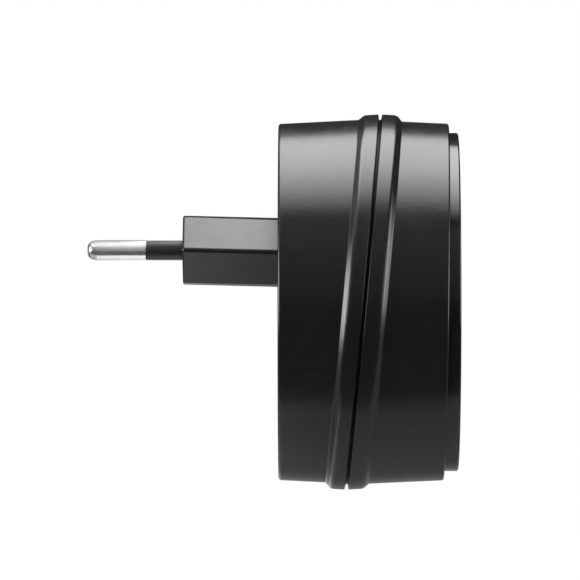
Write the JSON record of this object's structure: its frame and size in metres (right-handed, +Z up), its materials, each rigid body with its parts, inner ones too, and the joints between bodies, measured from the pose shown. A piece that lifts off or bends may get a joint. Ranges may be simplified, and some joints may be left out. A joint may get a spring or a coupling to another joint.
{
  "type": "smart plug",
  "caption": "Round plug-in smart switch: flat two-pin mains plug behind, recessed two-pole outlet, push button and light ring in front.",
  "frame": {"origin": "centre of the plug's engagement face, between the two pins", "axes": "+X out of the wall through the front disc, -X along the pins, +Z up, the pins side by side along Y"},
  "size_m": [0.074, 0.075, 0.075],
  "materials": {
    "case": "fine moulded texture, satin black",
    "fascia": "gloss black",
    "plug": "satin black",
    "sleeve": "matt black",
    "nickel": "nickel-plated brass",
    "bronze": "bare phosphor bronze",
    "steel": "zinc-plated steel",
    "nylon": "natural polyamide",
    "laminate": "green solder mask on glass-epoxy",
    "relay_blue": "blue moulded cover",
    "copper": "enamelled copper wire, iron core",
    "ferrite": "sintered ferrite",
    "tape": "yellow polyester tape over the winding",
    "capacitor": "shrink sleeve on an aluminium can",
    "film": "yellow box",
    "varistor": "blue epoxy coat",
    "epoxy": "moulded black",
    "fuse": "brown thermoplastic cap",
    "wire_brown": "brown insulation",
    "wire_blue": "blue insulation",
    "light": "translucent polycarbonate",
    "label": "blank plate"
  },
  "bodies": {
    "case": {"rear_case": "case", "front_case": "case", "front_fascia": "fascia", "rating_label": "label", "plug_body": "plug", "pin_retainer": "nylon", "live_pin": "nickel", "neutral_pin": "nickel", "live_pin_sleeve": "sleeve", "neutral_pin_sleeve": "sleeve", "live_wire": "wire_brown", "neutral_wire": "wire_blue", "live_contact": "bronze", "neutral_contact": "bronze", "outlet_well": "case", "shutter_housing": "nylon", "shutter_spring": "steel", "contact_block": "nylon", "light_ring": "light", "switch_body": "epoxy", "status_led_left": "light", "status_led_right": "light", "power_board": "laminate", "relay_base": "epoxy", "relay_case": "relay_blue", "relay_coil": "copper", "transformer_core": "ferrite", "transformer_bobbin": "epoxy", "transformer_winding": "tape", "bulk_capacitor": "capacitor", "output_capacitor": "capacitor", "film_capacitor": "film", "varistor": "varistor", "fuse": "fuse", "choke": "ferrite", "bridge_rectifier": "epoxy", "power_chip": "epoxy", "metering_chip": "epoxy", "current_shunt": "copper", "control_board": "laminate", "board_header": "epoxy", "radio_shield": "steel", "aerial": "bronze", "case_screw_1": "steel", "case_screw_2": "steel", "case_screw_3": "steel", "case_screw_4": "steel", "board_screw_1": "steel", "board_screw_2": "steel", "control_screw_1": "steel", "control_screw_2": "steel"},
    "button": {"power_button": "fascia"},
    "plunger": {"switch_plunger": "epoxy"},
    "shutter": {"outlet_shutter": "nylon"},
    "armature": {"relay_armature": "steel"}
  },
  "joints": [
    {"name": "button_press", "type": "slide", "parent": "case", "child": "button", "axis": [-1, 0, 0], "range_m": [0, 0.0005], "stiffness_N_per_m": 3000, "springref_m": -0.0003},
    {"name": "switch_travel", "type": "slide", "parent": "case", "child": "plunger", "axis": [-1, 0, 0], "range_m": [0, 0.0005]},
    {"name": "shutter_slide", "type": "slide", "parent": "case", "child": "shutter", "axis": [0, 0, -1], "range_m": [0, 0.006], "stiffness_N_per_m": 150, "springref_m": -0.003, "deforming": ["shutter_spring"]},
    {"name": "armature_pull", "type": "hinge", "parent": "case", "child": "armature", "pos_m": [0.03915, -0.0132, -0.0316], "axis": [0, -1, 0], "range_deg": [0, 2.4], "stiffness_Nm_per_rad": 0.02, "springref_deg": -2.86}
  ],
  "couplings": [
    {"joint": "switch_travel", "follows": "button_press", "ratio": 1}
  ]
}
